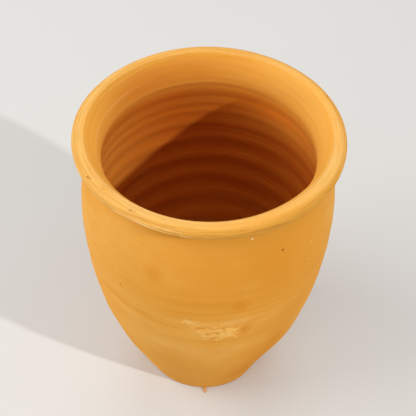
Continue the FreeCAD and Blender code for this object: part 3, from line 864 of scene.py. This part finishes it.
def add_node(tree, kind, inputs=None, **settings):
    """A shader node with its settings, and its inputs fed by name or number."""
    node = tree.nodes.new("ShaderNode" + kind)
    for name, value in settings.items():
        setattr(node, name, value)
    for key, value in (inputs or {}).items():
        feed(tree, node.inputs[key], value)
    return node


def math_node(tree, operation, *values):
    return add_node(tree, "Math", dict(enumerate(values)), operation=operation).outputs[0]


def blend(tree, first, second, share):
    """Weighted sum of two values, the second by its share and the first by the rest."""
    inputs = {"Factor": share, 2: first, 3: second}
    return add_node(tree, "Mix", inputs).outputs[0]


def mix_colour(tree, share, first, second):
    inputs = {"Factor": share, 6: first, 7: second}
    return add_node(tree, "Mix", inputs, data_type="RGBA").outputs[2]


def soft_range(tree, value, low, high):
    """0 where a value is at low or under, 1 at high or over, smooth between."""
    inputs = {"Value": value, "From Min": low, "From Max": high}
    return add_node(tree, "MapRange", inputs, interpolation_type="SMOOTHSTEP").outputs["Result"]


def noise(tree, vector, scale, detail, roughness=0.5):
    inputs = {"Vector": vector, "Scale": scale, "Detail": detail, "Roughness": roughness}
    return add_node(tree, "TexNoise", inputs).outputs["Fac"]


def stretched(tree, vector, scale):
    """A vector scaled along its three axes."""
    return add_node(tree, "Mapping", {"Vector": vector, "Scale": scale}).outputs["Vector"]


def attribute(tree, name, output="Fac"):
    return add_node(tree, "Attribute", attribute_name=name).outputs[output]


def new_group(name, inputs, outputs):
    """An empty shader group with named sockets, and its input and output nodes."""
    group = bpy.data.node_groups.new(name, "ShaderNodeTree")
    for socket, kind in inputs.items():
        group.interface.new_socket(socket, in_out="INPUT", socket_type="NodeSocket" + kind)
    for socket, kind in outputs.items():
        group.interface.new_socket(socket, in_out="OUTPUT", socket_type="NodeSocket" + kind)
    return group, group.nodes.new("NodeGroupInput"), group.nodes.new("NodeGroupOutput")


def place_group(tree, group, **inputs):
    """A group placed in a material, with its inputs fed by name."""
    node = tree.nodes.new("ShaderNodeGroup")
    node.node_tree = group
    for name, value in inputs.items():
        feed(tree, node.inputs[name], value)
    return node


def clay_grain_group():
    """Fired clay at three scales: clouds of tone, fine grains with a height, and scattered dark specks."""
    group, given, result = new_group(
        "clay_grain",
        {"Place": "Vector", "Grains": "Float", "Specks": "Float"},
        {"Tone": "Float", "Height": "Float", "Specks": "Float"},
    )
    place, grains = given.outputs["Place"], given.outputs["Grains"]
    clouds = noise(group, place, scale=70, detail=4, roughness=0.6)
    fine = noise(group, place, scale=grains, detail=3, roughness=0.65)
    coarse = noise(group, place, scale=math_node(group, "MULTIPLY", grains, 0.22), detail=2)
    cells = add_node(group, "TexVoronoi", {"Vector": place, "Scale": 330}).outputs["Distance"]
    chosen = soft_range(group, noise(group, place, scale=190, detail=1), 0.6, 0.66)
    near = math_node(group, "SUBTRACT", 1, soft_range(group, cells, 0, given.outputs["Specks"]))
    feed(group, result.inputs["Tone"], blend(group, clouds, fine, 0.3))
    feed(group, result.inputs["Height"], blend(group, fine, coarse, 0.4))
    feed(group, result.inputs["Specks"], math_node(group, "MULTIPLY", chosen, near))
    return group


def fleck_group():
    """Mask of one fleck: 1 within its size of its centre, with a soft and slightly ragged edge."""
    group, given, result = new_group(
        "fleck",
        {"Place": "Vector", "Centre": "Vector", "Size": "Float"},
        {"Mask": "Float"},
    )
    ends = {0: given.outputs["Place"], 1: given.outputs["Centre"]}
    apart = add_node(group, "VectorMath", ends, operation="DISTANCE").outputs["Value"]
    rough = noise(group, given.outputs["Place"], scale=2500, detail=1)
    ragged = math_node(group, "MULTIPLY_ADD", rough, 1.2, 0.4)
    share = math_node(group, "DIVIDE", math_node(group, "MULTIPLY", apart, ragged), given.outputs["Size"])
    feed(group, result.inputs["Mask"], math_node(group, "SUBTRACT", 1, soft_range(group, share, 0.6, 1.2)))
    return group


clay_grain = clay_grain_group()
fleck = fleck_group()


def new_material(name):
    """An empty material, its tree and its shader."""
    material = bpy.data.materials.new(name)
    material.use_nodes = True
    return material, material.node_tree, material.node_tree.nodes["Principled BSDF"]


def clay_material(name, roughness, grains):
    """A new matt material: its tree, its shader, Object coordinates and the grain placed in it."""
    material, tree, shader = new_material(name)
    shader.inputs["Specular IOR Level"].default_value = 0.1
    place = add_node(tree, "TexCoord").outputs["Object"]
    grain = place_group(tree, clay_grain, Place=place, Grains=grains, Specks=0.12)
    uneven = math_node(tree, "MULTIPLY_ADD", grain.outputs["Tone"], 0.2, roughness - 0.1)
    feed(tree, shader.inputs["Roughness"], uneven)
    return material, tree, shader, place, grain


def round_fleck(tree, place, azimuth, radius, level, size):
    """Mask of a fleck at an azimuth in degrees, a distance from the axis and a height."""
    centre = (radius * math.cos(radians(azimuth)), radius * math.sin(radians(azimuth)), level)
    return place_group(tree, fleck, Place=place, Centre=centre, Size=size).outputs["Mask"]


def dress(tree, shader, colour, height, distance, strength):
    """Feeds a shader's colour, and its normal with a bump."""
    inputs = {"Height": height, "Distance": distance, "Strength": strength}
    feed(tree, shader.inputs["Base Color"], colour)
    feed(tree, shader.inputs["Normal"], add_node(tree, "Bump", inputs).outputs["Normal"])


# Colours of the clay, and of the light and shade painted on it, linear red, green and blue
CLAY_PALE = (0.73, 0.353, 0.057, 1)
CLAY_FULL = (0.67, 0.283, 0.033, 1)
# Painted light on the flare's sides and the lip's top
CLAY_PAINTED_LIGHT = (0.85, 0.39, 0.055, 1)
# Painted warm bounce light on the inner wall at the back right
CLAY_WARM_LIGHT = (0.9, 0.275, 0.022, 1)
# Painted shade inside: a deeper, redder tone, and darker still in the well
CLAY_INSIDE_SHADE = (0.54, 0.133, 0.008, 1)
CLAY_WELL_SHADE = (0.4, 0.078, 0.003, 1)
# Rubbed paleness of the lip, with painted sheen
CLAY_RUBBED_AND_SHEEN = (0.785, 0.455, 0.136, 1)
# Pale slip smears, and painted sheen on the belly's sides
CLAY_BLOOM_AND_SHEEN = (0.78, 0.43, 0.12, 1)
# Stains, and painted shade in creases, under the lip and in the grip's dent
CLAY_STAIN_AND_SHADE = (0.6, 0.22, 0.013, 1)
# Torn pale clay and pale flecks, also the painted highlight on the lip's inner edge
CLAY_TORN_AND_HIGHLIGHT = (0.87, 0.6, 0.27, 1)
# Darker in the ring grooves: slip gathered there, and painted shade
CLAY_GROOVE = (0.34, 0.06, 0.002, 1)
# Paler on the ring crests, rubbed and partly painted light, and along some streaks inside
CLAY_CREST = (0.66, 0.2, 0.018, 1)
CLAY_SCRATCH = (0.45, 0.185, 0.024, 1)
# Painted shade on the lip's outer face, on the wall under it and in the tears' gaps
CLAY_SHADE = (0.6, 0.282, 0.038, 1)
CLAY_BARE = (0.71, 0.31, 0.04, 1)
SPECK_DARK = (0.24, 0.055, 0.007, 1)
PIT_DARK = (0.54, 0.2, 0.02, 1)
SLIP_PALE = (0.79, 0.43, 0.105, 1)
SLIP_DULL = (0.72, 0.335, 0.05, 1)
SLIP_TRACE = (0.81, 0.47, 0.145, 1)
SLIP_CHALK = (0.87, 0.61, 0.3, 1)
SHRED_PALE = (0.68, 0.39, 0.18, 1)
SHRED_DULL = (0.58, 0.29, 0.1, 1)

# How finely the streaks of the turning, the lip's hairlines and the shred's fibres lie along each axis
BROAD_STREAKS = (1.1, 1.1, 330)
THIN_STREAKS = (1.6, 1.6, 1500)
HAIRLINES = (5, 5, 2600)
SHRED_FIBRES = (3.0, 0.6, 3.0)

# Flecks on the outer wall: azimuth in degrees, height and size in metres, and strength
DARK_FLECKS = (
    (-56.4, 0.1, 0.0004, 0.9),
    (-128.9, 0.0799, 0.0004, 0.6),
    (-127.9, 0.079, 0.00025, 0.6),
    (-120.2, 0.0744, 0.00035, 0.6),
    (-67.5, 0.0642, 0.0005, 0.35),
    (18, 0.085, 0.0004, 0.7),
    (95, 0.06, 0.0004, 0.7),
    (150, 0.094, 0.00035, 0.6),
)
PALE_FLECKS = (
    (-39.5, 0.095, 0.0005, 0.3),
    (-40.9, 0.0882, 0.00045, 0.25),
    (75, 0.101, 0.00045, 0.5),
)

# Nicks on the lip: azimuth in degrees, distance from the axis, height and size in metres, and strength
LIP_NICKS = (
    (-147.5, 0.041, 0.1165, 0.00043, 0.65),
    (-146.3, 0.0408, 0.1166, 0.00036, 0.55),
    (-121.9, 0.0406, 0.1167, 0.00038, 0.45),
    (-121.1, 0.0405, 0.1167, 0.00036, 0.4),
    (-119.6, 0.0404, 0.1167, 0.00034, 0.25),
    (-138, 0.04, 0.1168, 0.0003, 0.3),
    (24, 0.0407, 0.1166, 0.0004, 0.5),
)


def turned_tone(tree, streaks, grain):
    """Clay tone: streaked along the turning where its lines are plain, and cloudy elsewhere."""
    cloudy = soft_range(tree, grain.outputs["Tone"], 0.15, 0.85)
    streaky = soft_range(tree, streaks, 0.36, 0.64)
    tone = blend(tree, cloudy, streaky, attribute(tree, "turned"))
    return mix_colour(tree, tone, CLAY_FULL, CLAY_PALE)


def tint(tree, colour, mask, strength, other):
    """A colour mixed towards another by the strength of a mask."""
    return mix_colour(tree, math_node(tree, "MULTIPLY", mask, strength), colour, other)


def turned_streaks(tree, wheel):
    """Noise drawn out along the turning: broad and thin streaks in equal shares."""
    broad = noise(tree, stretched(tree, wheel, BROAD_STREAKS), scale=1, detail=3, roughness=0.6)
    thin = noise(tree, stretched(tree, wheel, THIN_STREAKS), scale=1, detail=3, roughness=0.6)
    return blend(tree, broad, thin, 0.5)


def inside_shade_tone(tree, streaks):
    """The painted shade inside, a deeper and redder tone: darkest in the well, and lighter along some of
    the streaks.
    """
    tone = mix_colour(tree, attribute(tree, "well"), CLAY_INSIDE_SHADE, CLAY_WELL_SHADE)
    return tint(tree, tone, soft_range(tree, streaks, 0.44, 0.64), 0.25, CLAY_CREST)


def scratches(tree, wheel):
    """Mask of the hairlines along the turning, where the lip is rubbed pale with painted sheen, or its
    turned face has painted shade.
    """
    shaded = math_node(tree, "MULTIPLY", attribute(tree, "shade"), attribute(tree, "turned"))
    extent = math_node(tree, "MULTIPLY_ADD", attribute(tree, "rub"), 0.3, shaded)
    hair = noise(tree, stretched(tree, wheel, HAIRLINES), scale=1, detail=2)
    return math_node(tree, "MULTIPLY", extent, soft_range(tree, hair, 0.49, 0.58))


def coated(tree, colour, coats):
    """A colour with coats mixed over it in turn, each by its attribute and its share."""
    for name, share, other in coats:
        colour = tint(tree, colour, attribute(tree, name), share, other)
    return colour


def spotted(tree, colour, place, grain):
    """A colour with the clay's specks, the single flecks of the wall and the nicks of the lip."""
    colour = tint(tree, colour, grain.outputs["Specks"], 0.4, SPECK_DARK)
    for flecks, other in ((DARK_FLECKS, SPECK_DARK), (PALE_FLECKS, CLAY_TORN_AND_HIGHLIGHT)):
        for azimuth, level, size, strength in flecks:
            mask = round_fleck(tree, place, azimuth, section.outer_wall(level)[0], level, size)
            colour = tint(tree, colour, mask, strength, other)
    for azimuth, radius, level, size, strength in LIP_NICKS:
        mask = round_fleck(tree, place, azimuth, radius, level, size)
        colour = tint(tree, colour, mask, strength, SPECK_DARK)
    return colour


def terracotta():
    """Turned clay: streaked along the turning, with painted shade and light inside, rubbed pale with
    painted sheen on the lip, marked outside with stains and painted shade.
    """
    material, tree, shader, place, grain = clay_material("terracotta", roughness=0.88, grains=1900)
    wheel = attribute(tree, "wheel", "Vector")
    streaks = turned_streaks(tree, wheel)
    patchy = soft_range(tree, noise(tree, place, scale=700, detail=3, roughness=0.6), 0.44, 0.56)
    # Coats in turn: pale smears with painted sheen, slip traces, stains with painted shade, the painted
    # shade inside, painted light, painted warm bounce light, darker grooves and paler crests that are
    # partly painted shade and light, rubbed paleness with painted sheen, and painted shade on the lip
    coats = (
        ("smear", soft_range(tree, grain.outputs["Tone"], 0.22, 0.72), CLAY_BLOOM_AND_SHEEN),
        ("trace", patchy, SLIP_TRACE),
        ("stain", 0.8, CLAY_STAIN_AND_SHADE),
        ("deep", 1, inside_shade_tone(tree, streaks)),
        ("glow", 0.9, CLAY_PAINTED_LIGHT),
        ("warm", 1, CLAY_WARM_LIGHT),
        ("groove", 0.06, CLAY_GROOVE),
        ("crest", soft_range(tree, streaks, 0.1, 0.72), CLAY_CREST),
        ("rub", soft_range(tree, streaks, 0.3, 0.58), CLAY_RUBBED_AND_SHEEN),
        ("shade", 0.85, CLAY_SHADE),
    )
    colour = coated(tree, turned_tone(tree, streaks, grain), coats)
    colour = tint(tree, colour, scratches(tree, wheel), 0.6, CLAY_SCRATCH)
    pale_share = math_node(tree, "MULTIPLY_ADD", patchy, 0.5, 0.45)
    colour = tint(tree, colour, attribute(tree, "fray"), pale_share, CLAY_TORN_AND_HIGHLIGHT)
    colour = spotted(tree, colour, place, grain)
    lined = math_node(tree, "MULTIPLY", attribute(tree, "turned"), 0.8)
    relief = blend(tree, grain.outputs["Height"], streaks, lined)
    dress(tree, shader, colour, relief, distance=0.0003, strength=0.45)
    return material


def pale_slip():
    """Dried slip: thin at its edges, where the clay shows through, cloudy and crumbly elsewhere."""
    material, tree, shader, place, grain = clay_material("pale_slip", roughness=0.92, grains=1300)
    blotches = noise(tree, place, scale=420, detail=3, roughness=0.6)
    colour = mix_colour(tree, soft_range(tree, blotches, 0.36, 0.6), SLIP_DULL, SLIP_PALE)
    colour = mix_colour(tree, attribute(tree, "cover"), CLAY_BARE, colour)
    colour = coated(tree, colour, (("pit", 0.85, PIT_DARK), ("chalk", 0.9, SLIP_CHALK)))
    colour = tint(tree, colour, grain.outputs["Specks"], 0.5, CLAY_STAIN_AND_SHADE)
    relief = blend(tree, blotches, grain.outputs["Height"], 0.5)
    dress(tree, shader, colour, relief, distance=0.0004, strength=0.5)
    return material


def shred_clay():
    """The torn shred: pale clay with a fibrous grain, dragged out along its length."""
    material, tree, shader, place, grain = clay_material("shred_clay", roughness=0.9, grains=2600)
    fibres = noise(tree, stretched(tree, place, SHRED_FIBRES), scale=1500, detail=3, roughness=0.6)
    colour = mix_colour(tree, soft_range(tree, fibres, 0.35, 0.65), SHRED_DULL, SHRED_PALE)
    relief = blend(tree, fibres, grain.outputs["Height"], 0.5)
    dress(tree, shader, colour, relief, distance=0.0002, strength=0.5)
    return material


slip = pale_slip()
build_vessel().data.materials.append(terracotta())
build_crust().data.materials.append(slip)
build_crumb().data.materials.append(slip)
build_tail().data.materials.append(shred_clay())

# Camera at the photograph's viewing angle
PHOTO_SIDE = 416
FOCAL_PIXELS = 760
CAMERA_PLACE = Vector((0, -0.1727, 0.2737))
CAMERA_AIM = Vector((0.00014, 0, 0.0797))
CAMERA_ROLL = radians(1.53)


def add_camera():
    data = bpy.data.cameras.new("photo_view")
    data.sensor_width = 36
    data.lens = data.sensor_width * FOCAL_PIXELS / PHOTO_SIDE
    data.clip_start = 0.01
    camera = add_object("photo_view", data)
    look = (CAMERA_AIM - CAMERA_PLACE).to_track_quat("-Z", "Y").to_matrix().to_4x4()
    camera.matrix_world = Matrix.Translation(CAMERA_PLACE) @ look @ Matrix.Rotation(CAMERA_ROLL, 4, "Z")
    bpy.context.scene.camera = camera


# Lamps, all a metre from the mouth: size in metres, watts, azimuth and elevation in degrees
LAMP_TARGET = Vector((0, 0, 0.107))
LAMP_DISTANCE = 1.0
LAMPS = {
    "key": (0.03, 5.45, -34, 30.5),
    "left_soft": (0.7, 6.2, 184, 37),
    "front_left_soft": (0.7, 2.4, 225, 14),
    "top_soft": (0.7, 1.1, 270, 66),
    "back_soft": (0.7, 3.4, 90, 30),
}

# Strength of the world's even light, and of the same where it shows as the background
WORLD_LEVEL = 0.38
WORLD_SEEN = 0.78


def add_lamp(name, size, watts, azimuth, elevation):
    """A square lamp that faces the target."""
    data = bpy.data.lights.new(name, "AREA")
    data.size = size
    data.energy = watts
    lamp = add_object(name, data)
    turn = Matrix.Rotation(radians(azimuth), 3, "Z") @ Matrix.Rotation(-radians(elevation), 3, "Y")
    away = turn @ Vector((1, 0, 0))
    place = Matrix.Translation(LAMP_TARGET + LAMP_DISTANCE * away)
    lamp.matrix_world = place @ away.to_track_quat("Z", "Y").to_matrix().to_4x4()


def seen_rays(tree):
    """1 for rays that show a background, straight or in a reflection or through glass, 0 for light."""
    rays = add_node(tree, "LightPath").outputs
    seen = math_node(tree, "MAXIMUM", rays["Is Camera Ray"], rays["Is Glossy Ray"])
    return math_node(tree, "MAXIMUM", seen, rays["Is Transmission Ray"])


def add_world():
    """Even white light from all round, that shows paler past the floor than it shines."""
    world = bpy.data.worlds.new("studio")
    world.use_nodes = True
    tree = world.node_tree
    background = tree.nodes["Background"]
    background.inputs["Color"].default_value = (1, 1, 1, 1)
    level = blend(tree, WORLD_LEVEL, WORLD_SEEN, seen_rays(tree))
    feed(tree, background.inputs["Strength"], level)
    bpy.context.scene.world = world


# Floor: its colour as it shows and as it throws light back, how far it reaches either way in metres, and
# from where to where it fades to the world's tone
FLOOR_PALE = (0.62, 0.61, 0.59, 1)
FLOOR_BOUNCE = (0.6, 0.59, 0.57, 1)
FLOOR_REACH = 3.0
FLOOR_FADES = (0.3, 1.1)


def add_floor():
    """A pale floor that throws back less light than it shows, and fades to the world's tone far out."""
    signs = ((-1, -1), (1, -1), (1, 1), (-1, 1))
    corners = [(FLOOR_REACH * x, FLOOR_REACH * y, 0) for x, y in signs]
    mesh = bpy.data.meshes.new("floor")
    mesh.from_pydata(corners, [], [(0, 1, 2, 3)])
    floor = add_object("floor", mesh)
    finish, tree, shader = new_material("pale_floor")
    seen = seen_rays(tree)
    place = add_node(tree, "TexCoord").outputs["Object"]
    away = add_node(tree, "VectorMath", {0: place}, operation="LENGTH").outputs["Value"]
    faded = math_node(tree, "MULTIPLY", seen, soft_range(tree, away, *FLOOR_FADES))
    colour = mix_colour(tree, seen, FLOOR_BOUNCE, FLOOR_PALE)
    feed(tree, shader.inputs["Base Color"], mix_colour(tree, faded, colour, (0, 0, 0, 1)))
    shader.inputs["Emission Color"].default_value = (1, 1, 1, 1)
    feed(tree, shader.inputs["Emission Strength"], math_node(tree, "MULTIPLY", faded, WORLD_SEEN))
    shader.inputs["Roughness"].default_value = 0.95
    mesh.materials.append(finish)


add_camera()
add_floor()
add_world()
for lamp_name, lamp in LAMPS.items():
    add_lamp(lamp_name, *lamp)
bpy.context.scene.view_settings.view_transform = "Standard"
